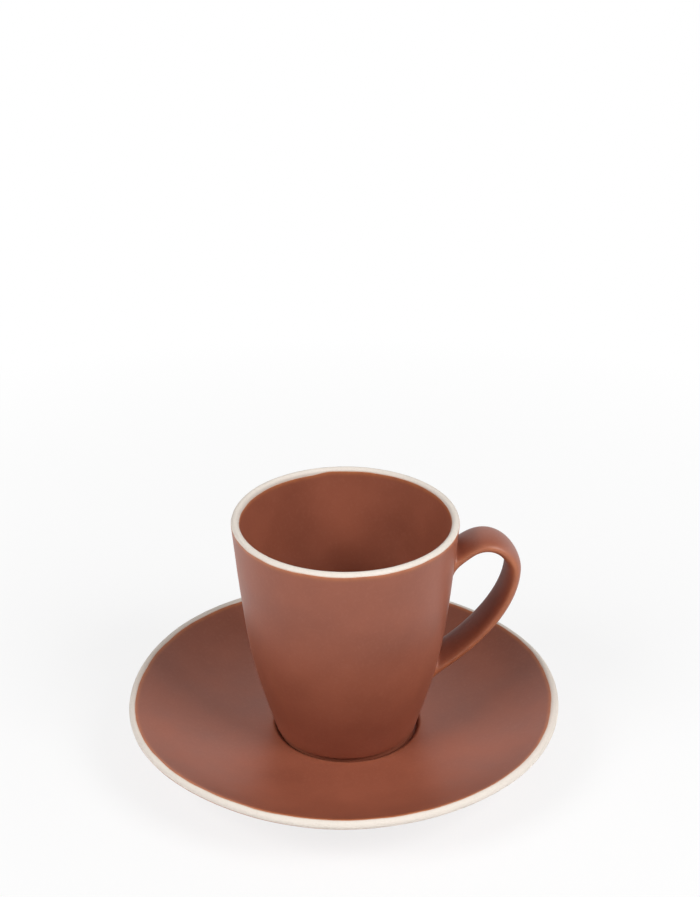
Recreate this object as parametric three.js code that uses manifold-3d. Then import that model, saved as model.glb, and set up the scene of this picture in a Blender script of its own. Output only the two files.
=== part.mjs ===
// Coffee cup with saucer: a tapered stoneware cup with a strap handle, standing in the well of a coupe saucer.
// Millimetres, +Z up. The origin is on the table under the saucer's centre, and the handle points to +X.

import * as THREE from 'three';
import { mergeVertices } from 'three/addons/utils/BufferGeometryUtils.js';
import Module from 'manifold-3d';

const wasm = await Module();
wasm.setup();

// Saucer sizes, angles in degrees
const saucerRadius = 77.3;
const saucerHeight = 21.3;
const saucerRimThickness = 3.4;
const saucerRimSlope = 28;
const dishHeight = 8.6;
const wellDepth = 2.2;
const wellEdgeRound = 1.8;
const saucerFootRadius = 44;
const saucerFootWidth = 4.5;
const saucerFootHeight = 3;
const saucerFootTaper = 0.8;
const saucerUnderSlope = 10;

// Cup sizes, heights above the cup's own foot, leans in degrees from upright
const cupHeight = 85.4;
const cupRadius = 39.7;
const cupRimThickness = 2.8;
const cupRimLean = 5.2;
const cupLipBand = 0.9;
const cupLowWall = 4.6;
const cupFloorThickness = 4.4;
const cupFloorCorner = 9;
const cupFootRadius = 24.4;
const cupFootWidth = 4;
const cupFootHeight = 2.6;
const cupFootRound = 0.6;
const cupFootInset = 1;
const cupFootLean = 17;

// Handle sizes, measured on the strap's centre line, rises in degrees above level
const handleWidth = 15.9;
const handleThickness = 5.2;
const handleSquareness = 2.2;
const handleDrop = 16.9;
const handleSpan = 42.2;
const handleStandoff = 19.2;
const handleCrestDrop = 4.1;
const handleTopRise = 48.9;
const handleTopPull = 17.2;
const handleCrestPull = 5.2;
const handleBackPull = 15.1;
const handleLowPull = 14.4;
const handleLowRise = 32.5;
const handleSink = 6;
const rootFlareLength = 9;
const rootFlareThickness = 0.6;
const rootFlareWidth = 0.2;

// Clearances: the foot in the well, and the joint between neighbouring pieces of clay
const wellClearance = 1.7;
const seam = 0.3;

// How far the ends of each curve pull, as shares of that curve's run
const dishPulls = { rim: 0.2, floor: 0.55 };
const underPulls = { rim: 0.35, foot: 0.4 };
const wallPulls = { foot: 0.35, rim: 0.6 };

// Slow waves of the hand-finished rims, each as [waves in a turn, size, angle of one crest in degrees]
const saucerSpread = [[1, 0.9, 148], [2, 0.3, -44], [3, 0.2, -12], [4, 0.25, 9], [6, 0.22, 20]];
const saucerLift = [[2, 0.1, -65], [3, 0.08, -6]];
const cupSpread = [[1, 0.17, 116], [2, 0.33, 85]];
const cupLift = [[1, 0.2, 107], [2, 0.06, -67]];
const cupWavesStart = 20;

// Facets
const segments = 60;
const curveSteps = 10;
const roundSteps = 4;
const strapSteps = 36;
const strapSides = 18;
const bisections = 30;

// Finishes
const terracottaGlaze = new THREE.MeshStandardMaterial({ color: 0x965a48, roughness: 0.62, metalness: 0 });
const bareClay = new THREE.MeshStandardMaterial({ color: 0xe8ded4, roughness: 0.75, metalness: 0 });

// Sizes that follow from the ones above
const wellRadius = cupFootRadius + wellClearance;
const wellFloor = dishHeight - wellDepth;
const saucerNose = saucerRimThickness / 2;
const cupNose = cupRimThickness / 2;
const cupFloor = cupFootHeight + cupFloorThickness;

const radians = THREE.MathUtils.degToRad;
const { lerp, smoothstep } = THREE.MathUtils;

// The point a given distance from another, at an angle above the radial direction
function step(point, distance, degrees) {
  const turn = radians(degrees);
  return new THREE.Vector2(point.x + distance * Math.cos(turn), point.y + distance * Math.sin(turn));
}

// Points of an arc in the profile plane
function arc(centre, radius, fromDegrees, toDegrees, steps) {
  const points = [];
  for (let i = 0; i <= steps; i += 1) {
    points.push(step(centre, radius, lerp(fromDegrees, toDegrees, i / steps)));
  }
  return points;
}

// The share of the way along a rising curve at which it reaches a height
function shareAtHeight(curve, height) {
  let low = 0;
  let high = 1;
  for (let i = 0; i < bisections; i += 1) {
    const middle = (low + high) / 2;
    if (curve.getPoint(middle).y < height) {
      low = middle;
    } else {
      high = middle;
    }
  }
  return low;
}

// A profile of radius and height turned round the Z axis
function revolve(profile) {
  return new THREE.LatheGeometry(profile, segments).rotateX(Math.PI / 2);
}

// A ring: a profile that closes on itself
function revolveRing(profile) {
  return revolve([...profile, profile[0]]);
}

// The height of a set of waves at an angle round the rim
function waveAt(waves, angle) {
  let height = 0;
  for (const [count, size, crest] of waves) {
    height += size * Math.cos(count * (angle - radians(crest)));
  }
  return height;
}

// Moves a turned piece off true by its waves, in the share that the piece has at each radius and height
function makeUneven(geometry, spread, lift, shareAt) {
  const position = geometry.attributes.position;
  const point = new THREE.Vector3();
  for (let i = 0; i < position.count; i += 1) {
    point.fromBufferAttribute(position, i);
    const radius = Math.hypot(point.x, point.y);
    const share = shareAt(radius, point.z);
    if (share > 0) {
      const angle = Math.atan2(point.y, point.x);
      const growth = 1 + share * waveAt(spread, angle) / radius;
      position.setXYZ(i, point.x * growth, point.y * growth, point.z + share * waveAt(lift, angle));
    }
  }
  geometry.computeVertexNormals();
  return geometry;
}

// The saucer is true at its foot and uneven at its rim, the cup true at its foot and uneven at its lip
function unevenSaucer(geometry) {
  const shareAt = (radius) => smoothstep(radius, saucerFootRadius, saucerRadius);
  return makeUneven(geometry, saucerSpread, saucerLift, shareAt);
}

function unevenCup(geometry) {
  const shareAt = (radius, height) => smoothstep(height, cupWavesStart, cupHeight);
  return makeUneven(geometry, cupSpread, cupLift, shareAt);
}

// A closed skin through rings of points, with flat ends
function loft(rings) {
  const sides = rings[0].length;
  const last = (rings.length - 1) * sides;
  const indices = [];
  for (let start = 0; start < last; start += sides) {
    for (let side = 0; side < sides; side += 1) {
      const next = (side + 1) % sides;
      indices.push(start + side, start + next, start + sides + side);
      indices.push(start + next, start + sides + next, start + sides + side);
    }
  }
  for (let side = 1; side + 1 < sides; side += 1) {
    indices.push(0, side + 1, side);
    indices.push(last, last + side, last + side + 1);
  }
  const geometry = new THREE.BufferGeometry().setFromPoints(rings.flat());
  geometry.setIndex(indices);
  return geometry;
}

// Solids for cutting, from a closed geometry and back
function toSolid(geometry) {
  const bare = geometry.clone();
  bare.deleteAttribute('normal');
  bare.deleteAttribute('uv');
  const merged = mergeVertices(bare);
  const vertProperties = new Float32Array(merged.attributes.position.array);
  const triVerts = new Uint32Array(merged.index.array);
  return new wasm.Manifold(new wasm.Mesh({ numProp: 3, vertProperties, triVerts }));
}

function toGeometry(solid) {
  const { vertProperties, triVerts } = solid.getMesh();
  const geometry = new THREE.BufferGeometry();
  geometry.setAttribute('position', new THREE.BufferAttribute(vertProperties, 3));
  geometry.setIndex(new THREE.BufferAttribute(triVerts, 1));
  geometry.computeVertexNormals();
  return geometry;
}

function piece(name, geometry, material) {
  const mesh = new THREE.Mesh(geometry, material);
  mesh.name = name;
  return mesh;
}

// Saucer rim: a full-round nose on the end of the sloping dish
const saucerNoseCentre = new THREE.Vector2(saucerRadius - saucerNose, saucerHeight - saucerNose);
const plateEnd = step(saucerNoseCentre, -seam, saucerRimSlope);
const plateRimTop = step(plateEnd, saucerNose, saucerRimSlope + 90);
const plateRimUnder = step(plateEnd, -saucerNose, saucerRimSlope + 90);

// Saucer plate: flat underside inside the foot, sloping underside, dish and well
function saucerPlate() {
  const underRun = plateRimUnder.x - saucerFootRadius;
  const dishEdge = wellRadius + wellEdgeRound;
  const dishRun = plateRimTop.x - dishEdge;
  const underStart = new THREE.Vector2(saucerFootRadius, saucerFootHeight);
  const under = new THREE.CubicBezierCurve(
    underStart,
    step(underStart, underPulls.foot * underRun, saucerUnderSlope),
    step(plateRimUnder, -underPulls.rim * underRun, saucerRimSlope),
    plateRimUnder,
  );
  const dish = new THREE.CubicBezierCurve(
    plateRimTop,
    step(plateRimTop, -dishPulls.rim * dishRun, saucerRimSlope),
    new THREE.Vector2(dishEdge + dishPulls.floor * dishRun, dishHeight),
    new THREE.Vector2(dishEdge, dishHeight),
  );
  const wellEdgeCentre = new THREE.Vector2(dishEdge, dishHeight - wellEdgeRound);
  const profile = [
    new THREE.Vector2(0, saucerFootHeight),
    ...under.getPoints(curveSteps),
    ...dish.getPoints(curveSteps),
    ...arc(wellEdgeCentre, wellEdgeRound, 90, 180, roundSteps).slice(1),
    new THREE.Vector2(wellRadius - wellEdgeRound, wellFloor),
    new THREE.Vector2(0, wellFloor),
  ];
  return unevenSaucer(revolve(profile));
}

// Saucer lip: the bare clay of the nose
function saucerLip() {
  const from = saucerRimSlope - 90;
  const to = saucerRimSlope + 90;
  return unevenSaucer(revolveRing(arc(saucerNoseCentre, saucerNose, from, to, 2 * roundSteps)));
}

// Saucer foot: a turned ring under the plate
function saucerFootRing() {
  const inner = saucerFootRadius - saucerFootWidth;
  return revolveRing([
    new THREE.Vector2(inner + saucerFootTaper, 0),
    new THREE.Vector2(saucerFootRadius - saucerFootTaper, 0),
    new THREE.Vector2(saucerFootRadius, saucerFootHeight),
    new THREE.Vector2(inner, saucerFootHeight),
  ]);
}

// Cup wall: the outside, leaning out at the foot and nearly upright at the rim
const wallFoot = new THREE.Vector2(cupFootRadius + cupFootInset, cupFootHeight);
const wallTop = new THREE.Vector2(cupRadius, cupHeight - cupNose);
const wallRun = wallTop.y - wallFoot.y;
const cupWall = new THREE.CubicBezierCurve(
  wallFoot,
  step(wallFoot, wallPulls.foot * wallRun, 90 - cupFootLean),
  step(wallTop, -wallPulls.rim * wallRun, 90 - cupRimLean),
  wallTop,
);
const cupNoseCentre = new THREE.Vector2(cupRadius - cupNose, cupHeight - cupNose);

// The inside of the wall at a share of the way up the outside
function insidePoint(share) {
  const outside = cupWall.getPoint(share);
  return new THREE.Vector2(outside.x - lerp(cupLowWall, cupRimThickness, share), outside.y);
}

// The angle on the lip's round at a depth below its top
function noseAngle(depth) {
  return THREE.MathUtils.radToDeg(Math.asin((cupNose - depth) / cupNose));
}

// Cup body: wall and floor in one turned shell, cut off below the lip
function cupBody() {
  const cutAngle = noseAngle(cupLipBand + seam);
  const cornerShare = shareAtHeight(cupWall, cupFloor + cupFloorCorner);
  const cornerTop = insidePoint(cornerShare);
  const cornerFoot = insidePoint(shareAtHeight(cupWall, cupFloor));
  const corner = new THREE.QuadraticBezierCurve(
    cornerTop,
    new THREE.Vector2(cornerFoot.x, cupFloor),
    new THREE.Vector2(cornerFoot.x - cupFloorCorner, cupFloor),
  );
  const inside = [];
  for (let i = 1; i < curveSteps; i += 1) {
    inside.push(insidePoint(lerp(1, cornerShare, i / curveSteps)));
  }
  const profile = [
    new THREE.Vector2(0, cupFootHeight),
    ...cupWall.getPoints(curveSteps),
    step(cupNoseCentre, cupNose, cutAngle),
    step(cupNoseCentre, cupNose, 180 - cutAngle),
    step(cupNoseCentre, cupNose, 180),
    ...inside,
    ...corner.getPoints(roundSteps),
    new THREE.Vector2(0, cupFloor),
  ];
  return unevenCup(revolve(profile));
}

// Cup lip: the bare clay on top of the wall's round
function cupLip() {
  const edge = noseAngle(cupLipBand);
  return unevenCup(revolveRing(arc(cupNoseCentre, cupNose, edge, 180 - edge, 2 * roundSteps)));
}

// Cup foot: a turned ring set in under the wall, standing in the saucer's well
function cupFootRing() {
  const inner = cupFootRadius - cupFootWidth;
  return revolveRing([
    new THREE.Vector2(inner, 0),
    new THREE.Vector2(cupFootRadius - cupFootRound, 0),
    new THREE.Vector2(cupFootRadius, cupFootRound),
    new THREE.Vector2(cupFootRadius, cupFootHeight),
    new THREE.Vector2(inner, cupFootHeight),
  ]);
}

// The strap's centre line: out of the wall below the rim, over a tight crest and down a long slant to the wall
function handleLine() {
  const topHeight = cupHeight - handleDrop;
  const topRoot = cupWall.getPoint(shareAtHeight(cupWall, topHeight));
  const lowRoot = cupWall.getPoint(shareAtHeight(cupWall, topHeight - handleSpan));
  const crest = new THREE.Vector2(cupRadius + handleStandoff, topHeight - handleCrestDrop);
  const line = new THREE.CurvePath();
  line.add(new THREE.LineCurve(step(topRoot, -handleSink, handleTopRise), topRoot));
  line.add(new THREE.CubicBezierCurve(
    topRoot,
    step(topRoot, handleTopPull, handleTopRise),
    step(crest, handleCrestPull, 90),
    crest,
  ));
  line.add(new THREE.CubicBezierCurve(
    crest,
    step(crest, -handleBackPull, 90),
    step(lowRoot, handleLowPull, handleLowRise),
    lowRoot,
  ));
  line.add(new THREE.LineCurve(lowRoot, step(lowRoot, -handleSink, handleLowRise)));
  return line;
}

// A rounded strap section: one coordinate of a superellipse with the given half size
function rounded(halfSize, cosine) {
  return halfSize * Math.sign(cosine) * Math.abs(cosine) ** (2 / handleSquareness);
}

// Handle: a strap lofted along its line, flared at both roots and cut to the wall
function cupHandle() {
  const line = handleLine();
  const length = line.getLength();
  const rings = [];
  for (let i = 0; i <= strapSteps; i += 1) {
    const share = i / strapSteps;
    const centre = line.getPointAt(share);
    const along = line.getTangentAt(share);
    const fromRoot = Math.min(share, 1 - share) * length - handleSink;
    const flare = 1 - smoothstep(fromRoot, 0, rootFlareLength);
    const halfThickness = (handleThickness + flare * rootFlareThickness) / 2;
    const halfWidth = (handleWidth + flare * rootFlareWidth) / 2;
    const ring = [];
    for (let side = 0; side < strapSides; side += 1) {
      const turn = (2 * Math.PI * side) / strapSides;
      const out = rounded(halfThickness, Math.sin(turn));
      const across = rounded(halfWidth, Math.cos(turn));
      ring.push(new THREE.Vector3(centre.x - along.y * out, across, centre.y + along.x * out));
    }
    rings.push(ring);
  }
  const cleared = cupWall.getPoints(2 * curveSteps).map((point) => new THREE.Vector2(point.x + seam, point.y));
  const core = cupFootRadius / 2;
  const wallTool = unevenCup(revolveRing([
    new THREE.Vector2(core, wallFoot.y),
    ...cleared,
    new THREE.Vector2(core, wallTop.y),
  ]));
  return toGeometry(toSolid(loft(rings)).subtract(toSolid(wallTool)));
}

// Saucer, on the table
const saucer = new THREE.Group();
saucer.add(piece('saucer_plate', saucerPlate(), terracottaGlaze));
saucer.add(piece('saucer_lip', saucerLip(), bareClay));
saucer.add(piece('saucer_foot_ring', saucerFootRing(), bareClay));

// Cup, standing on the floor of the saucer's well
const cup = new THREE.Group();
cup.position.z = wellFloor;
cup.add(piece('cup_body', cupBody(), terracottaGlaze));
cup.add(piece('cup_lip', cupLip(), bareClay));
cup.add(piece('cup_foot_ring', cupFootRing(), terracottaGlaze));
cup.add(piece('cup_handle', cupHandle(), terracottaGlaze));

const cupAndSaucer = new THREE.Group();
cupAndSaucer.add(saucer, cup);

export default cupAndSaucer;
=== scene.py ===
"""Coffee cup with saucer: the looks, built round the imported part. Metres, in the part's own frame."""

import bisect
import math

import bmesh
import bpy
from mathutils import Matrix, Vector, noise


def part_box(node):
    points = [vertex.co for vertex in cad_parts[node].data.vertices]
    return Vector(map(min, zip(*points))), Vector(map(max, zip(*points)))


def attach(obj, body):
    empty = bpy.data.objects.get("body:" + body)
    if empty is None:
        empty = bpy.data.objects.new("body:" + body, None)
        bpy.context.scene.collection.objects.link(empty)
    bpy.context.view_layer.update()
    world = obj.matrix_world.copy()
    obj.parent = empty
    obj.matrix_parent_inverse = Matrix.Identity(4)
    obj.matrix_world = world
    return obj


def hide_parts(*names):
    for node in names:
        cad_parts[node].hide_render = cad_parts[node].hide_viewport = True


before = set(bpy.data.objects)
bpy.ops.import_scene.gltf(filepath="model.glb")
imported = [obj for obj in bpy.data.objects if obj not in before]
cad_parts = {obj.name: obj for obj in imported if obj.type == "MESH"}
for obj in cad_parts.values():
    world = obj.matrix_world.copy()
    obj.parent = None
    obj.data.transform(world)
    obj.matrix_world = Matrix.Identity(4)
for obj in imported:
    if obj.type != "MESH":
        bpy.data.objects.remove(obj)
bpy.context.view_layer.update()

MM = 0.001
WHITE = (1, 1, 1, 1)

# Saucer sizes, angles in degrees
SAUCER_RADIUS = 77.3 * MM
SAUCER_HEIGHT = 21.3 * MM
SAUCER_NOSE = 1.7 * MM
SAUCER_RIM_SLOPE = 28
SAUCER_UNDER_SLOPE = 10
DISH_HEIGHT = 8.6 * MM
WELL_RADIUS = 26.1 * MM
WELL_EDGE_ROUND = 1.8 * MM
WELL_CORNER_ROUND = 0.4 * MM
SAUCER_FOOT_WIDTH = 4.5 * MM
SAUCER_FOOT_TAPER = 0.8 * MM
SAUCER_FOOT_ROUND = 0.45 * MM

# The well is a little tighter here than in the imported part, and off centre towards the handle
WELL_TIGHTNESS = 0.6 * MM
WELL_OFFSET = 0.4 * MM

# Cup sizes, heights above the cup's own foot, leans in degrees from upright
CUP_HEIGHT = 85.4 * MM
CUP_RADIUS = 39.7 * MM
CUP_NOSE = 1.4 * MM
CUP_RIM_LEAN = 5.2
CUP_LOW_WALL = 4.6 * MM
CUP_RIM_WALL = 2.8 * MM
CUP_FLOOR_THICKNESS = 4.4 * MM
CUP_FLOOR_CORNER = 9 * MM
CUP_FOOT_WIDTH = 4 * MM
CUP_FOOT_LEAN = 17
CUP_FOOT_ROUND = 0.6 * MM
CUP_FOOT_INSET = 1 * MM
WALL_FOOT_ROUND = 0.5 * MM

# Handle sizes, on the strap's centre line, rises in degrees above level
HANDLE_WIDTH = 15.9 * MM
HANDLE_THICKNESS = 5.2 * MM
HANDLE_DROP = 16.9 * MM
HANDLE_SPAN = 42.2 * MM
HANDLE_STANDOFF = 19.2 * MM
HANDLE_CREST_DROP = 4.1 * MM
HANDLE_TOP_RISE = 48.9
HANDLE_TOP_PULL = 17.2 * MM
HANDLE_CREST_PULL = 5.2 * MM
HANDLE_BACK_PULL = 15.1 * MM
HANDLE_LOW_PULL = 14.4 * MM
HANDLE_LOW_RISE = 32.5
ROOT_FLARE_LENGTH = 9 * MM
ROOT_FLARE_THICKNESS = 0.6 * MM
ROOT_FLARE_WIDTH = 0.2 * MM
STRAP_SQUARENESS = 2.2

# The strap's roots: where the blend into the wall starts, and how far it spreads over the wall
ROOT_BLEND = 5 * MM
TOP_ROOT_SPREAD = {"above": 1.6 * MM, "below": 5 * MM}
LOW_ROOT_SPREAD = {"above": 2 * MM, "below": 2 * MM}

# How far a root's curve pulls along the strap and the wall, and how deep its edge and end lie in the wall
ROOT_PULLS = {"strap": 0.75, "wall": 0.9}
ROOT_SINK = 0.25 * MM
ROOT_END_DEPTH = CUP_RIM_WALL / 3

# How far the ends of each curve pull, as shares of that curve's run
DISH_PULLS = {"rim": 0.2, "floor": 0.55}
UNDER_PULLS = {"rim": 0.35, "foot": 0.4}
WALL_PULLS = {"foot": 0.35, "rim": 0.6}

# Slow waves of the hand-finished rims, each as (waves in a turn, size, angle of one crest in degrees)
SAUCER_SPREAD = [
    (1, 0.9 * MM, 148), (2, 0.3 * MM, -44), (3, 0.2 * MM, -12), (4, 0.25 * MM, 9), (6, 0.22 * MM, 20),
]
SAUCER_LIFT = [(2, 0.1 * MM, -65), (3, 0.08 * MM, -6)]
CUP_SPREAD = [(1, 0.17 * MM, 116), (2, 0.33 * MM, 85)]
CUP_LIFT = [(1, 0.2 * MM, 107), (2, 0.06 * MM, -67)]
CUP_WAVES_START = 20 * MM

# Ripples of a hand-turned surface: their size off true, their length, and the share and count of finer ones
RIPPLE_SIZE = 0.09 * MM
RIPPLE_LENGTH = 16 * MM
FINE_RIPPLE_SHARE = 0.4
FINE_RIPPLE_COUNT = 2.7

# The glaze: its thickness, the round of its edge, and how far from the edge it is thin
GLAZE = 0.07 * MM
GLAZE_ROUND = 0.35 * MM
GLAZE_THIN = 1.8 * MM

# The bare clay: how far the glaze stains it, and how deep it and the cores of glaze and clay lie
STAIN_WIDTH = 0.5 * MM
CLAY_DEPTH = 0.06 * MM
GLAZE_CORE_DEPTH = 0.8 * MM
CLAY_CORE_DEPTH = 1.04 * MM

# How far the bare clay reaches along the rims from their crowns, with slow waves of its own
CUP_BARE_OUTSIDE = 2.05 * MM
CUP_BARE_INSIDE = 2 * MM
SAUCER_BARE_OUTSIDE = 4.2 * MM
SAUCER_OUTSIDE_WAVES = [(1, 0.6 * MM, 20), (2, 0.3 * MM, 110)]
SAUCER_BARE_INSIDE = 0.63 * MM
SAUCER_INSIDE_WAVES = [
    (1, 0.75 * MM, 80), (2, 0.36 * MM, -33), (3, 0.15 * MM, -8), (4, 0.15 * MM, -12),
]
SAUCER_BARE_MOST = 4.5 * MM

# The cup's bare clay reaches further down inside between two angles, in degrees, with a soft rise and fall
CUP_BARE_EXTRA = 0.7 * MM
CUP_EXTRA_START = 99
CUP_EXTRA_END = 200
CUP_EXTRA_RISE = 7
CUP_EXTRA_FALL = 40

# Random unevenness of the glaze's edges: its size and length, and a seed for each edge
BAND_UNEVENNESS = 0.2 * MM
BAND_UNEVEN_LENGTH = 9 * MM
SAUCER_BAND_SEEDS = {"outside": 1, "inside": 2}
CUP_BAND_SEEDS = {"outside": 3, "inside": 4}

# A rim's section: how far it reaches down inside the cup, and how many outline points it takes each side
RIM_REACH = 7 * MM
RIM_POINTS = 7

# How thin the glaze is on the well's edge and at the strap's edges, which lightens it and partly paints a
# highlight along these edges, and the power at which that fades
WELL_EDGE_THIN_AND_HIGHLIGHT = 0.12
STRAP_EDGE_THIN_AND_HIGHLIGHT = 0.7
STRAP_EDGE_FADE_POWER = 10

# Mesh fineness
SAUCER_SEGMENTS = 288
CUP_SEGMENTS = 256
FLOOR_SEGMENTS = 96
CURVE_STEP = 1.1 * MM
NOSE_STEPS = 60
EDGE_STEPS = 14
CLAY_STEPS = 32
CORNER_STEPS = 6
HANDLE_CURVE_STEPS = 400
STRAP_STEPS = 110
STRAP_SIDES = 64
BLEND_STEPS = 14
SHARP_ANGLE = 50

# Tries in which a height on the wall and a meeting with the wall are closed in on
HEIGHT_TRIES = 30
MEETING_TRIES = 12

# How many points to each side give a path's direction
DIRECTION_REACH = 3

# Colours
GLAZE_DEEP = (0.2601, 0.07579, 0.04197, 1)
GLAZE_WARM = (0.3295, 0.09869, 0.05462, 1)
GLAZE_GRAIN = (0.3774, 0.1314, 0.0782, 1)
# Light orange of thin glaze; on the strap's and well's edges it is partly a painted highlight
GLAZE_BREAK_AND_HIGHLIGHT = (0.5, 0.165, 0.064, 1)
CLAY_PALE = (0.82, 0.745, 0.67, 1)
CLAY_SANDY = (0.74, 0.65, 0.56, 1)
CLAY_STAIN = (0.55, 0.36, 0.25, 1)

# Noise in the materials, each as (length of a patch, detail), and a shift that places the clouds, picked so
# that their warm patches lighten the saucer's front and their deep patches darken its shaded back: partly
# painted light and shade
CLOUDS = (24 * MM, 4)
CLOUD_SHIFT = (0, 0, 0.5)
GRAIN = (1.1 * MM, 3)
PEEL = (2.6 * MM, 2)
BREAKS = (3 * MM, 2)
SAND = (0.7 * MM, 3)
BLOTCHES = (7 * MM, 3)

# What the noise drives, each as (noise from, noise to, result from, result to)
CLOUD_WARMTH = (0.3, 0.7, 0, 1)
GRAIN_SHARE = (0.5, 0.85, 0, 0.35)
BREAK_SHARE = (0.3, 0.7, 0.55, 1)
GLAZE_ROUGHNESS = (0.3, 0.7, 0.38, 0.46)
SAND_SHARE = (0.5, 0.8, 0, 0.6)
STAIN_SHARE = (0.35, 0.7, 0.25, 0.8)
CLAY_ROUGHNESS = (0.3, 0.7, 0.68, 0.8)

# Bumps, each as (height, strength), the sheen of each material, and how much rougher the driest glaze is
PEEL_BUMP = (0.05 * MM, 0.35)
GRAIN_BUMP = (0.02 * MM, 0.4)
SAND_BUMP = (0.04 * MM, 0.5)
GLAZE_SPECULAR = 0.5
CLAY_SPECULAR = 0.2
DRY_ROUGHNESS = 0.2

# Camera: level distance, height, sideways step, pitch and turn in degrees, and lens on a 36 mm sensor
CAMERA_DISTANCE = 511.2 * MM
CAMERA_HEIGHT = 359.9 * MM
CAMERA_SIDESTEP = 1.487 * MM
CAMERA_PITCH = 25.349
CAMERA_TURN = -5
CAMERA_LENS = 67.31

# Light levels: 1 shows a white surface that faces the lamp as white
WORLD_LEVEL = 0.01
OVERHEAD_START = 0.3
OVERHEAD_LEVEL = 0.15
LAMP_DISTANCE = 1.1
KEY_SIZE = 0.5
FILL_SIZE = 0.7

# Lamps, each as (degrees to the right of the camera, degrees above level, size, level)
LAMPS = {
    "key_right": (55, 40, KEY_SIZE, 0.68),
    "key_left": (-55, 40, KEY_SIZE, 0.6),
    "fill_right": (110, 22, FILL_SIZE, 0.12),
    "fill_front": (0, 15, FILL_SIZE, 0.06),
    "fill_back": (180, 35, FILL_SIZE, 0.05),
    "fill_top": (0, 90, FILL_SIZE, 0.05),
}

# The floor glows white where it is seen directly, less so near the object, where it shows the shadow
FLOOR_COLOUR = (0.95, 0.95, 0.95, 1)
FLOOR_RADIUS = 3
FLOOR_DROP = 0.05 * MM
SHADOW_GLOW = 0.8
SHADOW_NEAR = 0.12
SHADOW_FAR = 0.4

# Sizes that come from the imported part
CUP_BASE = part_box("cup_foot_ring")[0].z
CUP_FOOT_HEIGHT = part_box("cup_foot_ring")[1].z - CUP_BASE
CUP_FOOT_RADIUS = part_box("cup_foot_ring")[1].x
SAUCER_FOOT_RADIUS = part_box("saucer_foot_ring")[1].x
SAUCER_FOOT_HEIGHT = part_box("saucer_foot_ring")[1].z
WELL_FLOOR = CUP_BASE
CUP_FLOOR = CUP_FOOT_HEIGHT + CUP_FLOOR_THICKNESS


# Plain geometry
def smoothstep(value, low, high):
    share = min(max((value - low) / (high - low), 0), 1)
    return share * share * (3 - 2 * share)


def lerp(start, end, share):
    return start + (end - start) * share


def signed_power(value, power):
    return math.copysign(abs(value) ** power, value)


def step(point, distance, degrees):
    """The point a distance from another, at an angle above level, in a plane of radius and height."""
    turn = math.radians(degrees)
    return point + Vector((math.cos(turn), math.sin(turn))) * distance


def bezier(points, share):
    """A point of the Bezier curve with the given control points."""
    while len(points) > 1:
        points = [a.lerp(b, share) for a, b in zip(points, points[1:])]
    return points[0]


def curve(points):
    """Points of a Bezier curve, about one curve step apart."""
    length = sum((b - a).length for a, b in zip(points, points[1:]))
    steps = max(2, round(length / CURVE_STEP))
    return [bezier(points, i / steps) for i in range(steps + 1)]


def arc(centre, radius, start, end, steps):
    return [step(centre, radius, lerp(start, end, i / steps)) for i in range(steps + 1)]


def line(start, end):
    """Points of a straight line, about two curve steps apart."""
    steps = max(1, round((end - start).length / (2 * CURVE_STEP)))
    return [start.lerp(end, i / steps) for i in range(steps + 1)]


# Unevenness
def wave(waves, angle):
    return sum(size * math.cos(count * (angle - math.radians(crest))) for count, size, crest in waves)


def unevenness(angle, radius, seed):
    """A slow random wave round a rim, from -1 to 1, that closes on itself."""
    round_rim = Vector((math.cos(angle), math.sin(angle), 0)) * radius / BAND_UNEVEN_LENGTH
    return noise.noise(round_rim + Vector((0, 0, seed)))


def ripple(point):
    """How far a hand-turned surface stands off true at a point."""
    place = point / RIPPLE_LENGTH
    fine = FINE_RIPPLE_SHARE * noise.noise(place * FINE_RIPPLE_COUNT)
    return RIPPLE_SIZE * (noise.noise(place) + fine)


# Saucer outline: a full-round nose on the end of the sloping dish
saucer_nose_centre = Vector((SAUCER_RADIUS - SAUCER_NOSE, SAUCER_HEIGHT - SAUCER_NOSE))
saucer_rim_top = step(saucer_nose_centre, SAUCER_NOSE, SAUCER_RIM_SLOPE + 90)
saucer_rim_under = step(saucer_nose_centre, -SAUCER_NOSE, SAUCER_RIM_SLOPE + 90)
dish_edge = WELL_RADIUS + WELL_EDGE_ROUND
dish_run = saucer_rim_top.x - dish_edge
under_run = saucer_rim_under.x - SAUCER_FOOT_RADIUS
under_start = Vector((SAUCER_FOOT_RADIUS, SAUCER_FOOT_HEIGHT))
under_points = curve([
    under_start,
    step(under_start, UNDER_PULLS["foot"] * under_run, SAUCER_UNDER_SLOPE),
    step(saucer_rim_under, -UNDER_PULLS["rim"] * under_run, SAUCER_RIM_SLOPE),
    saucer_rim_under,
])
dish_points = curve([
    saucer_rim_top,
    step(saucer_rim_top, -DISH_PULLS["rim"] * dish_run, SAUCER_RIM_SLOPE),
    Vector((dish_edge + DISH_PULLS["floor"] * dish_run, DISH_HEIGHT)),
    Vector((dish_edge, DISH_HEIGHT)),
])

# Cup outline: the outside of the wall, leaning out at the foot and nearly upright at the rim
wall_foot = Vector((CUP_FOOT_RADIUS + CUP_FOOT_INSET, CUP_FOOT_HEIGHT))
wall_top = Vector((CUP_RADIUS, CUP_HEIGHT - CUP_NOSE))
wall_run = wall_top.y - wall_foot.y
cup_wall = [
    wall_foot,
    step(wall_foot, WALL_PULLS["foot"] * wall_run, 90 - CUP_FOOT_LEAN),
    step(wall_top, -WALL_PULLS["rim"] * wall_run, 90 - CUP_RIM_LEAN),
    wall_top,
]
wall_points = curve(cup_wall)
cup_nose_centre = Vector((CUP_RADIUS - CUP_NOSE, CUP_HEIGHT - CUP_NOSE))
foot_lean = math.radians(CUP_FOOT_LEAN)
wall_foot_set = WALL_FOOT_ROUND * (1 - math.sin(foot_lean)) / math.cos(foot_lean)
wall_foot_centre = wall_foot + Vector((-wall_foot_set, WALL_FOOT_ROUND))
wall_foot_round = arc(wall_foot_centre, WALL_FOOT_ROUND, -90, -CUP_FOOT_LEAN, CORNER_STEPS)


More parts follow.
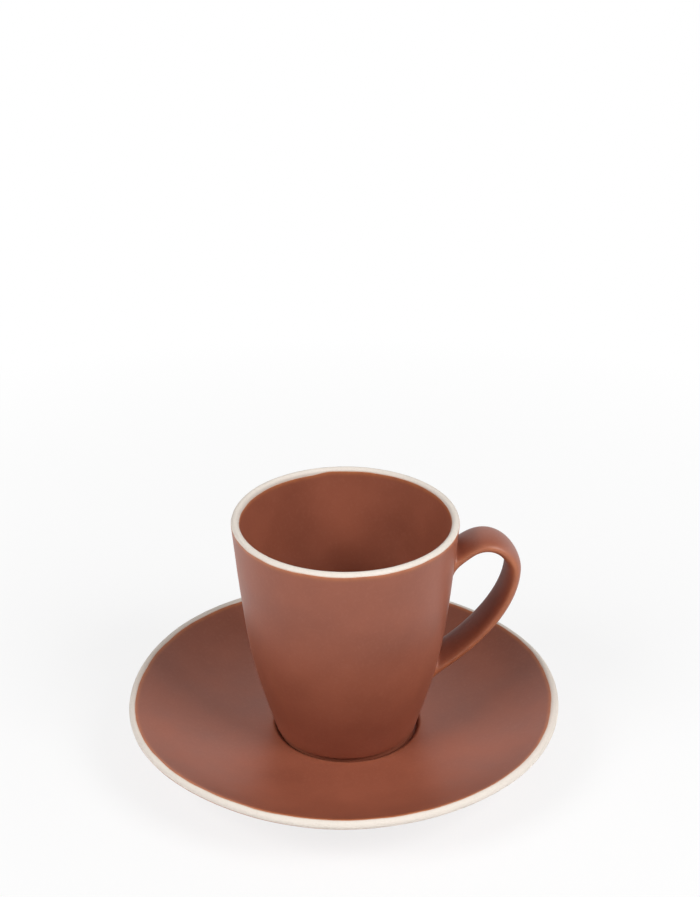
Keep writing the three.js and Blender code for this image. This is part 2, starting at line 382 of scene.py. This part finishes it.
def wall_share(height):
    """The share of the way up the wall's curve at which it reaches a height."""
    low, high = 0, 1
    for _ in range(HEIGHT_TRIES):
        middle = (low + high) / 2
        if bezier(cup_wall, middle).y < height:
            low = middle
        else:
            high = middle
    return low


def inside_point(share):
    outside = bezier(cup_wall, share)
    return Vector((outside.x - lerp(CUP_LOW_WALL, CUP_RIM_WALL, share), outside.y))


# Cup inside: past the rim, down the wall and round a wide corner to the floor
inside_rim_points = []
for i in range(1, RIM_POINTS + 1):
    inside_rim_points.append(inside_point(wall_share(wall_top.y - RIM_REACH * i / RIM_POINTS)))
inside_steps = round((CUP_HEIGHT - CUP_FLOOR) / CURVE_STEP)
inside_start = wall_share(wall_top.y - RIM_REACH)
inside_end = wall_share(CUP_FLOOR + CUP_FLOOR_CORNER)
inside_points = []
for i in range(1, inside_steps):
    inside_points.append(inside_point(lerp(inside_start, inside_end, i / inside_steps)))
inside_foot = inside_point(wall_share(CUP_FLOOR))
inside_floor_edge = Vector((inside_foot.x - CUP_FLOOR_CORNER, CUP_FLOOR))
inside_corner = curve([inside_point(inside_end), Vector((inside_foot.x, CUP_FLOOR)), inside_floor_edge])


# Points round the axis, in the part's frame
def turned(radius, height, angle):
    return Vector((radius * math.cos(angle), radius * math.sin(angle), height))


def turned_cup(radius, height, angle):
    return turned(radius, height + CUP_BASE, angle)


def uneven_saucer(radius, height, angle):
    """A point of the saucer: true at its foot and well, uneven towards its rim."""
    share = smoothstep(radius, SAUCER_FOOT_RADIUS, SAUCER_RADIUS)
    radius += share * wave(SAUCER_SPREAD, angle)
    point = turned(radius, height, angle)
    loose = smoothstep(radius, dish_edge, SAUCER_FOOT_RADIUS)
    point.z += share * wave(SAUCER_LIFT, angle) + loose * ripple(point)
    return point


def uneven_cup(radius, height, angle):
    """A point of the cup: true at its foot, uneven towards its lip."""
    share = smoothstep(height, CUP_WAVES_START, CUP_HEIGHT)
    radius += share * wave(CUP_SPREAD, angle)
    loose = smoothstep(height, CUP_FOOT_HEIGHT, CUP_WAVES_START)
    radius += loose * ripple(turned(radius, height, angle))
    height += share * wave(CUP_LIFT, angle)
    return turned_cup(radius, height, angle)


# Rims: a section over the nose, and how far round it the clay is bare
def rim_section(before, centre, nose, start, end, after):
    """The outline over a rim from outside to inside, each point with its length from the nose's crown."""
    points = before + arc(centre, nose, start, end, NOSE_STEPS) + after
    length = -sum((b - a).length for a, b in zip(before, points[1:len(before) + 1]))
    length -= nose * math.radians(90 - start)
    section = []
    for here, there in zip(points, points[1:] + points[-1:]):
        section.append((length, here))
        length += (there - here).length
    return section


def section_spot(section, length):
    """The point at a length along a rim's section, and the way out of the clay there."""
    at = bisect.bisect_right(section, length, key=lambda spot: spot[0])
    at = min(max(at, 1), len(section) - 1)
    (low, here), (high, there) = section[at - 1], section[at]
    along = (there - here).normalized()
    return here.lerp(there, (length - low) / (high - low)), Vector((along.y, -along.x))


saucer_rim_section = rim_section(
    under_points[-RIM_POINTS:-1], saucer_nose_centre, SAUCER_NOSE,
    SAUCER_RIM_SLOPE - 90, SAUCER_RIM_SLOPE + 90, dish_points[1:RIM_POINTS],
)
cup_rim_section = rim_section(
    wall_points[-RIM_POINTS:-1], cup_nose_centre, CUP_NOSE, 0, 180, inside_rim_points,
)


def saucer_bands(angle):
    """How far round the saucer's nose the clay is bare: the lengths of both glaze edges from the crown."""
    outside = SAUCER_BARE_OUTSIDE + wave(SAUCER_OUTSIDE_WAVES, angle)
    outside += BAND_UNEVENNESS * unevenness(angle, SAUCER_RADIUS, SAUCER_BAND_SEEDS["outside"])
    inside = SAUCER_BARE_INSIDE + wave(SAUCER_INSIDE_WAVES, angle)
    inside += BAND_UNEVENNESS * unevenness(angle, SAUCER_RADIUS, SAUCER_BAND_SEEDS["inside"])
    return -min(outside, SAUCER_BARE_MOST), inside


def cup_bands(angle):
    """The same for the cup, whose inner glaze edge lies lower on one side."""
    degrees = math.degrees(angle)
    extra = smoothstep(degrees, CUP_EXTRA_START - CUP_EXTRA_RISE, CUP_EXTRA_START + CUP_EXTRA_RISE)
    extra -= smoothstep(degrees, CUP_EXTRA_END - CUP_EXTRA_FALL, CUP_EXTRA_END + CUP_EXTRA_FALL)
    outside = CUP_BARE_OUTSIDE
    outside += BAND_UNEVENNESS * unevenness(angle, CUP_RADIUS, CUP_BAND_SEEDS["outside"])
    inside = CUP_BARE_INSIDE + CUP_BARE_EXTRA * extra
    inside += BAND_UNEVENNESS * unevenness(angle, CUP_RADIUS, CUP_BAND_SEEDS["inside"])
    return -outside, inside


# Rows of a turned piece, each a point of radius and height with how thin the glaze or stained the clay is
def plain(points, value=0):
    return [(point, value) for point in points]


def glaze_to_edge(section, far, edge):
    """Rows from a length along a rim's section to the glaze's edge, where it rounds off on to the clay."""
    rows = []
    for i in range(EDGE_STEPS + 1):
        from_edge = abs(far - edge) * (1 - i / EDGE_STEPS) ** 2
        near = max(0, 1 - from_edge / GLAZE_ROUND)
        drop = GLAZE * (1 - math.sqrt(1 - near * near))
        spot, out = section_spot(section, edge + math.copysign(from_edge, far - edge))
        rows.append((spot - out * drop, 1 - smoothstep(from_edge, 0, GLAZE_THIN)))
    return rows


def buried(section, edges, depth):
    """Rows at a depth under both glaze edges, all thin or stained."""
    rows = []
    for edge in edges:
        spot, out = section_spot(section, edge)
        rows.append((spot - out * depth, 1))
    return rows


def over_rim(section, bands):
    """Rows of glaze up one side of a rim and down the other, joined through the clay between its edges."""
    outside, inside = bands
    rows = glaze_to_edge(section, section[0][0], outside)
    rows += buried(section, bands, GLAZE_CORE_DEPTH)
    rows += reversed(glaze_to_edge(section, section[-1][0], inside))
    return rows


def rim_clay(section, bands):
    """Rows of the bare clay of a rim, running in under the glaze on both sides."""
    outside, inside = bands
    rows = []
    for i in range(CLAY_STEPS + 1):
        length = lerp(outside - GLAZE_ROUND, inside + GLAZE_ROUND, i / CLAY_STEPS)
        spot, out = section_spot(section, length)
        from_glaze = min(length - outside, inside - length)
        rows.append((spot - out * CLAY_DEPTH, 1 - smoothstep(from_glaze, 0, STAIN_WIDTH)))
    return rows + buried(section, (inside, outside), CLAY_CORE_DEPTH)


def foot_rows(outer, inner, height, taper, edge):
    """Rows of a turned foot ring with rounded standing edges, narrower at its foot by a taper each side."""
    left = Vector((inner + taper + edge, edge))
    right = Vector((outer - taper - edge, edge))
    rows = arc(left, edge, 180, 270, CORNER_STEPS)
    rows += arc(right, edge, 270, 360, CORNER_STEPS)
    rows += [Vector((outer, height)), Vector((inner, height))]
    return plain(rows)


# Meshes
def mesh_object(name, points, faces, material, **point_values):
    """A smooth closed mesh with named values at its points, which its material reads."""
    mesh = bpy.data.meshes.new(name)
    mesh.from_pydata(points, [], faces)
    build = bmesh.new()
    build.from_mesh(mesh)
    bmesh.ops.recalc_face_normals(build, faces=build.faces)
    build.to_mesh(mesh)
    build.free()
    for value_name, values in point_values.items():
        mesh.attributes.new(value_name, "FLOAT", "POINT").data.foreach_set("value", values)
    mesh.shade_smooth()
    mesh.set_sharp_from_angle(angle=math.radians(SHARP_ANGLE))
    mesh.materials.append(material)
    piece = bpy.data.objects.new(name, mesh)
    bpy.context.scene.collection.objects.link(piece)
    return piece


def revolve(name, rows_at, place, segments, material, ring=False):
    """A turned piece from its rows at each angle; a ring closes on itself, the rest ends on the axis."""
    points, values, columns = [], [], []
    poles = {}
    for segment in range(segments):
        angle = 2 * math.pi * segment / segments
        column = []
        rows = rows_at(angle)
        for i, (spot, value) in enumerate(rows):
            if not ring and i in (0, len(rows) - 1):
                if i not in poles:
                    poles[i] = len(points)
                    points.append(place(0, spot.y, 0))
                    values.append(value)
                column.append(poles[i])
                continue
            column.append(len(points))
            points.append(place(spot.x, spot.y, angle))
            values.append(value)
        if ring:
            column.append(column[0])
        columns.append(column)
    faces = []
    for here, there in zip(columns, columns[1:] + columns[:1]):
        for i in range(len(here) - 1):
            corners = [here[i], there[i], there[i + 1], here[i + 1]]
            faces.append(list(dict.fromkeys(corners)))
    return mesh_object(name, points, faces, material, edge=values)


def finish_piece(piece, body, node):
    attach(piece, body)
    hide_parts(node)


# Nodes of a material or of the world
def new_material(name):
    """A material, its node tree, its Principled shader and the part's own coordinates."""
    material = bpy.data.materials.new(name)
    material.use_nodes = True
    tree = material.node_tree
    shader = tree.nodes["Principled BSDF"]
    where = tree.nodes.new("ShaderNodeTexCoord").outputs["Object"]
    return material, tree, shader, where


def feed(tree, socket, value):
    """Gives a socket another node's output, or a value of its own."""
    if isinstance(value, bpy.types.NodeSocket):
        tree.links.new(value, socket)
    else:
        socket.default_value = value


def add_noise(tree, where, length, detail):
    """Noise whose patches are about a length across."""
    node = tree.nodes.new("ShaderNodeTexNoise")
    node.inputs["Scale"].default_value = 1 / length
    node.inputs["Detail"].default_value = detail
    tree.links.new(where, node.inputs["Vector"])
    return node.outputs["Fac"]


def add_shift(tree, where, shift):
    node = tree.nodes.new("ShaderNodeVectorMath")
    node.operation = "ADD"
    node.inputs[1].default_value = shift
    tree.links.new(where, node.inputs[0])
    return node.outputs["Vector"]


def add_range(tree, value, from_low, from_high, to_low, to_high):
    node = tree.nodes.new("ShaderNodeMapRange")
    node.inputs["From Min"].default_value = from_low
    node.inputs["From Max"].default_value = from_high
    node.inputs["To Min"].default_value = to_low
    node.inputs["To Max"].default_value = to_high
    tree.links.new(value, node.inputs["Value"])
    return node.outputs["Result"]


def add_math(tree, operation, first, second):
    node = tree.nodes.new("ShaderNodeMath")
    node.operation = operation
    feed(tree, node.inputs[0], first)
    feed(tree, node.inputs[1], second)
    return node.outputs["Value"]


def add_mix(tree, share, first, second):
    """A mix of two colours, each a colour or another node's output."""
    node = tree.nodes.new("ShaderNodeMix")
    node.data_type = "RGBA"
    sockets = {socket.identifier: socket for socket in node.inputs}
    feed(tree, sockets["Factor_Float"], share)
    feed(tree, sockets["A_Color"], first)
    feed(tree, sockets["B_Color"], second)
    return next(socket for socket in node.outputs if socket.identifier == "Result_Color")


def add_bump(tree, surface, height, strength, below=None):
    """The normal of a bumped surface, laid over another bump where there is one below."""
    node = tree.nodes.new("ShaderNodeBump")
    node.inputs["Distance"].default_value = height
    node.inputs["Strength"].default_value = strength
    tree.links.new(surface, node.inputs["Height"])
    if below:
        tree.links.new(below, node.inputs["Normal"])
    return node.outputs["Normal"]


def add_point_value(tree, name):
    """A value that the mesh holds at its points, 0 where it holds none of that name."""
    node = tree.nodes.new("ShaderNodeAttribute")
    node.attribute_name = name
    return node.outputs["Fac"]


# Materials
def terracotta_glaze():
    """Matte terracotta glaze: cloudy, finely grained, breaking to orange where it is thin. The clouds are
    placed so that they partly paint light and shade on the saucer, and on the strap's and well's edges the
    orange is partly a painted highlight.
    """
    material, tree, shader, where = new_material("terracotta_glaze")
    clouds = add_noise(tree, add_shift(tree, where, CLOUD_SHIFT), *CLOUDS)
    grain = add_noise(tree, where, *GRAIN)
    peel = add_noise(tree, where, *PEEL)
    breaks = add_noise(tree, where, *BREAKS)
    cloudy = add_mix(tree, add_range(tree, clouds, *CLOUD_WARMTH), GLAZE_DEEP, GLAZE_WARM)
    grainy = add_mix(tree, add_range(tree, grain, *GRAIN_SHARE), cloudy, GLAZE_GRAIN)
    patchy = add_range(tree, breaks, *BREAK_SHARE)
    # Thin glaze breaking to a lighter orange; on the strap's and well's edges this is partly a painted
    # highlight
    thin = add_math(tree, "MULTIPLY", add_point_value(tree, "edge"), patchy)
    tree.links.new(add_mix(tree, thin, grainy, GLAZE_BREAK_AND_HIGHLIGHT), shader.inputs["Base Color"])
    matte = add_range(tree, clouds, *GLAZE_ROUGHNESS)
    drier = add_math(tree, "MULTIPLY", add_point_value(tree, "dry"), DRY_ROUGHNESS)
    tree.links.new(add_math(tree, "ADD", matte, drier), shader.inputs["Roughness"])
    skin = add_bump(tree, peel, *PEEL_BUMP)
    tree.links.new(add_bump(tree, grain, *GRAIN_BUMP, skin), shader.inputs["Normal"])
    shader.inputs["Specular IOR Level"].default_value = GLAZE_SPECULAR
    return material


def bare_clay():
    """Pale unglazed stoneware: sandy grain, stained along the glaze."""
    material, tree, shader, where = new_material("bare_clay")
    sand = add_noise(tree, where, *SAND)
    blotches = add_noise(tree, where, *BLOTCHES)
    sandy = add_mix(tree, add_range(tree, sand, *SAND_SHARE), CLAY_PALE, CLAY_SANDY)
    patchy = add_range(tree, blotches, *STAIN_SHARE)
    stain = add_math(tree, "MULTIPLY", add_point_value(tree, "edge"), patchy)
    tree.links.new(add_mix(tree, stain, sandy, CLAY_STAIN), shader.inputs["Base Color"])
    tree.links.new(add_range(tree, blotches, *CLAY_ROUGHNESS), shader.inputs["Roughness"])
    tree.links.new(add_bump(tree, sand, *SAND_BUMP), shader.inputs["Normal"])
    shader.inputs["Specular IOR Level"].default_value = CLAY_SPECULAR
    return material


# Saucer pieces
def saucer_plate_rows(angle):
    """The plate's rows from under its centre, over the nose and down the dish into the well."""
    well_radius = WELL_RADIUS - WELL_TIGHTNESS + WELL_OFFSET * math.cos(angle)
    well_edge_centre = Vector((well_radius + WELL_EDGE_ROUND, DISH_HEIGHT - WELL_EDGE_ROUND))
    well_corner_centre = Vector((well_radius - WELL_CORNER_ROUND, WELL_FLOOR + WELL_CORNER_ROUND))
    well_floor_edge = Vector((WELL_RADIUS - WELL_EDGE_ROUND, WELL_FLOOR))
    rows = plain(line(Vector((0, SAUCER_FOOT_HEIGHT)), under_start)[:-1])
    rows += plain(under_points[:-RIM_POINTS])
    rows += over_rim(saucer_rim_section, saucer_bands(angle))
    rows += plain(dish_points[RIM_POINTS:-1])
    # A lighter band of thin glaze round the well's edge, partly a painted highlight line
    rows += plain(arc(well_edge_centre, WELL_EDGE_ROUND, 90, 180, CORNER_STEPS), WELL_EDGE_THIN_AND_HIGHLIGHT)
    rows += plain(arc(well_corner_centre, WELL_CORNER_ROUND, 0, -90, CORNER_STEPS)[1:])
    rows += plain(line(well_floor_edge, Vector((0, WELL_FLOOR))))
    return rows


def saucer_lip_rows(angle):
    return rim_clay(saucer_rim_section, saucer_bands(angle))


def saucer_foot_rows(_angle):
    inner = SAUCER_FOOT_RADIUS - SAUCER_FOOT_WIDTH
    return foot_rows(SAUCER_FOOT_RADIUS, inner, SAUCER_FOOT_HEIGHT, SAUCER_FOOT_TAPER, SAUCER_FOOT_ROUND)


# Cup pieces
def cup_body_rows(angle):
    """The body's rows from under its centre, up the wall, over the nose, and down inside to the floor."""
    rows = plain(line(Vector((0, CUP_FOOT_HEIGHT)), wall_foot_round[0])[:-1])
    rows += plain(wall_foot_round)
    rows += plain(wall_points[1:-RIM_POINTS])
    rows += over_rim(cup_rim_section, cup_bands(angle))
    rows += plain(inside_points)
    rows += plain(inside_corner)
    rows += plain(line(inside_floor_edge, Vector((0, CUP_FLOOR)))[1:])
    return rows


def cup_lip_rows(angle):
    return rim_clay(cup_rim_section, cup_bands(angle))


def cup_foot_rows(_angle):
    inner = CUP_FOOT_RADIUS - CUP_FOOT_WIDTH
    return foot_rows(CUP_FOOT_RADIUS, inner, CUP_FOOT_HEIGHT, 0, CUP_FOOT_ROUND)


# Handle
def cup_surface(point, sink=0):
    """The point of the cup's outer wall beside a point, and the way out of the wall there."""
    angle = math.atan2(point.y, point.x)
    height = min(max(point.z - CUP_BASE, wall_foot.y), wall_top.y)
    spot = bezier(cup_wall, wall_share(height))
    below = bezier(cup_wall, wall_share(height - CURVE_STEP))
    on_wall = uneven_cup(spot.x - sink, spot.y, angle)
    lean = math.atan2(spot.x - below.x, spot.y - below.y)
    return on_wall, turned(math.cos(lean), -math.sin(lean), angle)


def handle_line():
    """The strap's centre line from the upper root to the lower one, as points of radius and height."""
    top_height = CUP_HEIGHT - HANDLE_DROP
    top_root = bezier(cup_wall, wall_share(top_height))
    low_root = bezier(cup_wall, wall_share(top_height - HANDLE_SPAN))
    crest = Vector((CUP_RADIUS + HANDLE_STANDOFF, top_height - HANDLE_CREST_DROP))
    rise = [
        top_root,
        step(top_root, HANDLE_TOP_PULL, HANDLE_TOP_RISE),
        step(crest, HANDLE_CREST_PULL, 90),
        crest,
    ]
    fall = [
        crest,
        step(crest, -HANDLE_BACK_PULL, 90),
        step(low_root, HANDLE_LOW_PULL, HANDLE_LOW_RISE),
        low_root,
    ]
    shares = [i / HANDLE_CURVE_STEPS for i in range(HANDLE_CURVE_STEPS + 1)]
    return [bezier(rise, share) for share in shares[:-1]] + [bezier(fall, share) for share in shares]


def resample(path, steps, trim):
    """Even steps along a path with trimmed ends: point, direction and length from the nearer end."""
    lengths = [0]
    for a, b in zip(path, path[1:]):
        lengths.append(lengths[-1] + (b - a).length)
    spots = []
    at = 0
    for i in range(steps + 1):
        wanted = lerp(trim, lengths[-1] - trim, i / steps)
        while lengths[at + 1] < wanted:
            at += 1
        share = (wanted - lengths[at]) / (lengths[at + 1] - lengths[at])
        low, high = max(at - DIRECTION_REACH, 0), min(at + 1 + DIRECTION_REACH, len(path) - 1)
        along = (path[high] - path[low]).normalized()
        spots.append((path[at].lerp(path[at + 1], share), along, min(wanted, lengths[-1] - wanted)))
    return spots


def strap_section():
    """Points round the strap's section as (across, out), each from -1 to 1."""
    turns = [2 * math.pi * side / STRAP_SIDES for side in range(STRAP_SIDES)]
    power = 2 / STRAP_SQUARENESS
    return [(signed_power(math.cos(turn), power), signed_power(math.sin(turn), power)) for turn in turns]


def strap_ring(section, centre, along, flare):
    """One ring of the strap: its points and the ways out of them."""
    outward = Vector((-along.y, 0, along.x))
    half_width = (HANDLE_WIDTH + flare * ROOT_FLARE_WIDTH) / 2
    half_thickness = (HANDLE_THICKNESS + flare * ROOT_FLARE_THICKNESS) / 2
    ring = []
    for across, out in section:
        point = Vector((centre.x, across * half_width, centre.y + CUP_BASE))
        point += outward * out * half_thickness
        way = outward * signed_power(out, STRAP_SQUARENESS - 1) / half_thickness
        way.y += signed_power(across, STRAP_SQUARENESS - 1) / half_width
        ring.append((point, way.normalized()))
    return ring


def root_blend(ring, towards_wall, spread):
    """Rings that carry a strap's end ring on to the wall, spreading over it in a soft fillet."""
    rings = [[] for _ in range(BLEND_STEPS)]
    for point, way in ring:
        meet = point.copy()
        for _ in range(MEETING_TRIES):
            on_wall, out = cup_surface(meet)
            meet += towards_wall * ((on_wall - meet).dot(out) / towards_wall.dot(out))
        on_wall, out = cup_surface(meet)
        over_wall = (way - out * way.dot(out)).normalized()
        reach = lerp(spread["below"], spread["above"], (1 + over_wall.z) / 2)
        foot, _ = cup_surface(meet + over_wall * reach, ROOT_SINK)
        path = [
            point,
            point + towards_wall * (meet - point).length * ROOT_PULLS["strap"],
            foot - over_wall * reach * ROOT_PULLS["wall"],
            foot,
        ]
        for i in range(BLEND_STEPS):
            rings[i].append(bezier(path, (i + 1) / BLEND_STEPS))
    return rings


def cup_handle(material):
    """The strap, lofted along its line and blended into the wall at both roots."""
    section = strap_section()
    spots = resample(handle_line(), STRAP_STEPS, ROOT_BLEND)
    strap = []
    for centre, along, from_root in spots:
        strap.append(strap_ring(section, centre, along, 1 - smoothstep(from_root, 0, ROOT_FLARE_LENGTH)))
    first = Vector((-spots[0][1].x, 0, -spots[0][1].y))
    last = Vector((spots[-1][1].x, 0, spots[-1][1].y))
    rings = list(reversed(root_blend(strap[0], first, TOP_ROOT_SPREAD)))
    rings += [[point for point, _ in ring] for ring in strap]
    rings += root_blend(strap[-1], last, LOW_ROOT_SPREAD)
    points = [point for ring in rings for point in ring]
    # Lighter thin glaze along both edges of the strap, partly a painted highlight
    edge = [STRAP_EDGE_THIN_AND_HIGHLIGHT * abs(across) ** STRAP_EDGE_FADE_POWER for across, _ in section] * len(rings)
    dry = [max(0, -out) for _, out in section] * len(rings)
    faces = []
    for start in range(0, len(points) - STRAP_SIDES, STRAP_SIDES):
        for side in range(STRAP_SIDES):
            here, there = start + side, start + (side + 1) % STRAP_SIDES
            faces.append([here, there, there + STRAP_SIDES, here + STRAP_SIDES])
    for ring in (range(STRAP_SIDES), range(len(points) - STRAP_SIDES, len(points))):
        middle = sum((points[i] for i in ring), Vector()) / STRAP_SIDES
        on_wall, out = cup_surface(middle)
        centre = len(points)
        points.append(on_wall - out * ROOT_END_DEPTH)
        edge.append(0)
        dry.append(0)
        corners = list(ring)
        faces += [[a, b, centre] for a, b in zip(corners, corners[1:] + corners[:1])]
    return mesh_object("cup_strap_handle", points, faces, material, edge=edge, dry=dry)


# Stage: floor, world, lamps and camera
def seen_directly(tree):
    """1 for camera, mirror and glass rays, else 0."""
    path = tree.nodes.new("ShaderNodeLightPath")
    seen = add_math(tree, "MAXIMUM", path.outputs["Is Camera Ray"], path.outputs["Is Glossy Ray"])
    return add_math(tree, "MAXIMUM", seen, path.outputs["Is Transmission Ray"])


def floor_material():
    """Pale paint that glows where it is seen directly."""
    material, tree, shader, where = new_material("floor")
    tree.nodes.remove(shader)
    paint = tree.nodes.new("ShaderNodeBsdfDiffuse")
    paint.inputs["Color"].default_value = FLOOR_COLOUR
    glow = tree.nodes.new("ShaderNodeEmission")
    away = tree.nodes.new("ShaderNodeVectorMath")
    away.operation = "LENGTH"
    tree.links.new(where, away.inputs[0])
    white = add_range(tree, away.outputs["Value"], SHADOW_NEAR, SHADOW_FAR, SHADOW_GLOW, 1)
    mix = tree.nodes.new("ShaderNodeMixShader")
    tree.links.new(add_math(tree, "MULTIPLY", seen_directly(tree), white), mix.inputs[0])
    tree.links.new(paint.outputs[0], mix.inputs[1])
    tree.links.new(glow.outputs[0], mix.inputs[2])
    tree.links.new(mix.outputs[0], tree.nodes["Material Output"].inputs["Surface"])
    return material


def make_floor():
    """A round pale floor that shows white and keeps the object's shadow."""
    mesh = bpy.data.meshes.new("floor")
    build = bmesh.new()
    bmesh.ops.create_circle(build, cap_ends=True, segments=FLOOR_SEGMENTS, radius=FLOOR_RADIUS)
    build.to_mesh(mesh)
    build.free()
    mesh.materials.append(floor_material())
    floor = bpy.data.objects.new("floor", mesh)
    floor.location.z = -FLOOR_DROP
    bpy.context.scene.collection.objects.link(floor)


def make_world():
    """White surroundings, dimmer overhead in reflections, that hardly light the object."""
    world = bpy.data.worlds.new("studio")
    bpy.context.scene.world = world
    world.use_nodes = True
    tree = world.node_tree
    background = tree.nodes["Background"]
    background.inputs["Color"].default_value = WHITE
    split = tree.nodes.new("ShaderNodeSeparateXYZ")
    tree.links.new(tree.nodes.new("ShaderNodeTexCoord").outputs["Generated"], split.inputs[0])
    overhead = add_range(tree, split.outputs["Z"], OVERHEAD_START, 1, 1, OVERHEAD_LEVEL)
    camera_ray = tree.nodes.new("ShaderNodeLightPath").outputs["Is Camera Ray"]
    seen = add_math(tree, "MAXIMUM", overhead, camera_ray)
    seen = add_math(tree, "MULTIPLY", seen, seen_directly(tree))
    level = add_math(tree, "MAXIMUM", seen, WORLD_LEVEL)
    tree.links.new(level, background.inputs["Strength"])


def make_lamp(name, azimuth, elevation, size, level):
    """A square soft lamp aimed at the cup, which lights white to a level."""
    turn, lift = math.radians(azimuth + CAMERA_TURN), math.radians(elevation)
    way = Vector((math.sin(turn) * math.cos(lift), -math.cos(turn) * math.cos(lift), math.sin(lift)))
    lamp = bpy.data.lights.new(name, "AREA")
    lamp.size = size
    lamp.energy = level * (math.pi * LAMP_DISTANCE) ** 2
    holder = bpy.data.objects.new(name, lamp)
    holder.location = Vector((0, 0, CUP_BASE + CUP_HEIGHT / 2)) + way * LAMP_DISTANCE
    holder.rotation_mode = "QUATERNION"
    holder.rotation_quaternion = way.to_track_quat("Z", "Y")
    bpy.context.scene.collection.objects.link(holder)


def make_camera():
    """The photograph's view, turned a little round the cup."""
    turn = math.radians(CAMERA_TURN)
    back = Vector((math.sin(turn), -math.cos(turn), 0))
    right = Vector((math.cos(turn), math.sin(turn), 0))
    data = bpy.data.cameras.new("camera")
    data.lens = CAMERA_LENS
    camera = bpy.data.objects.new("camera", data)
    camera.location = back * CAMERA_DISTANCE + right * CAMERA_SIDESTEP + Vector((0, 0, CAMERA_HEIGHT))
    camera.rotation_euler = (math.radians(90 - CAMERA_PITCH), 0, turn)
    bpy.context.scene.collection.objects.link(camera)
    bpy.context.scene.camera = camera


bpy.context.scene.view_settings.view_transform = "Standard"
make_camera()
make_world()
make_floor()
for lamp_name, lamp_values in LAMPS.items():
    make_lamp(lamp_name, *lamp_values)

# The object
glaze = terracotta_glaze()
clay = bare_clay()
plate = revolve("saucer_dish", saucer_plate_rows, uneven_saucer, SAUCER_SEGMENTS, glaze)
finish_piece(plate, "saucer", "saucer_plate")
saucer_lip = revolve("saucer_rim", saucer_lip_rows, uneven_saucer, SAUCER_SEGMENTS, clay, ring=True)
finish_piece(saucer_lip, "saucer", "saucer_lip")
saucer_foot = revolve("saucer_foot", saucer_foot_rows, turned, SAUCER_SEGMENTS, clay, ring=True)
finish_piece(saucer_foot, "saucer", "saucer_foot_ring")
body = revolve("cup_wall", cup_body_rows, uneven_cup, CUP_SEGMENTS, glaze)
finish_piece(body, "cup", "cup_body")
cup_lip = revolve("cup_rim", cup_lip_rows, uneven_cup, CUP_SEGMENTS, clay, ring=True)
finish_piece(cup_lip, "cup", "cup_lip")
cup_foot = revolve("cup_foot", cup_foot_rows, turned_cup, CUP_SEGMENTS, glaze, ring=True)
finish_piece(cup_foot, "cup", "cup_foot_ring")
finish_piece(cup_handle(glaze), "cup", "cup_handle")
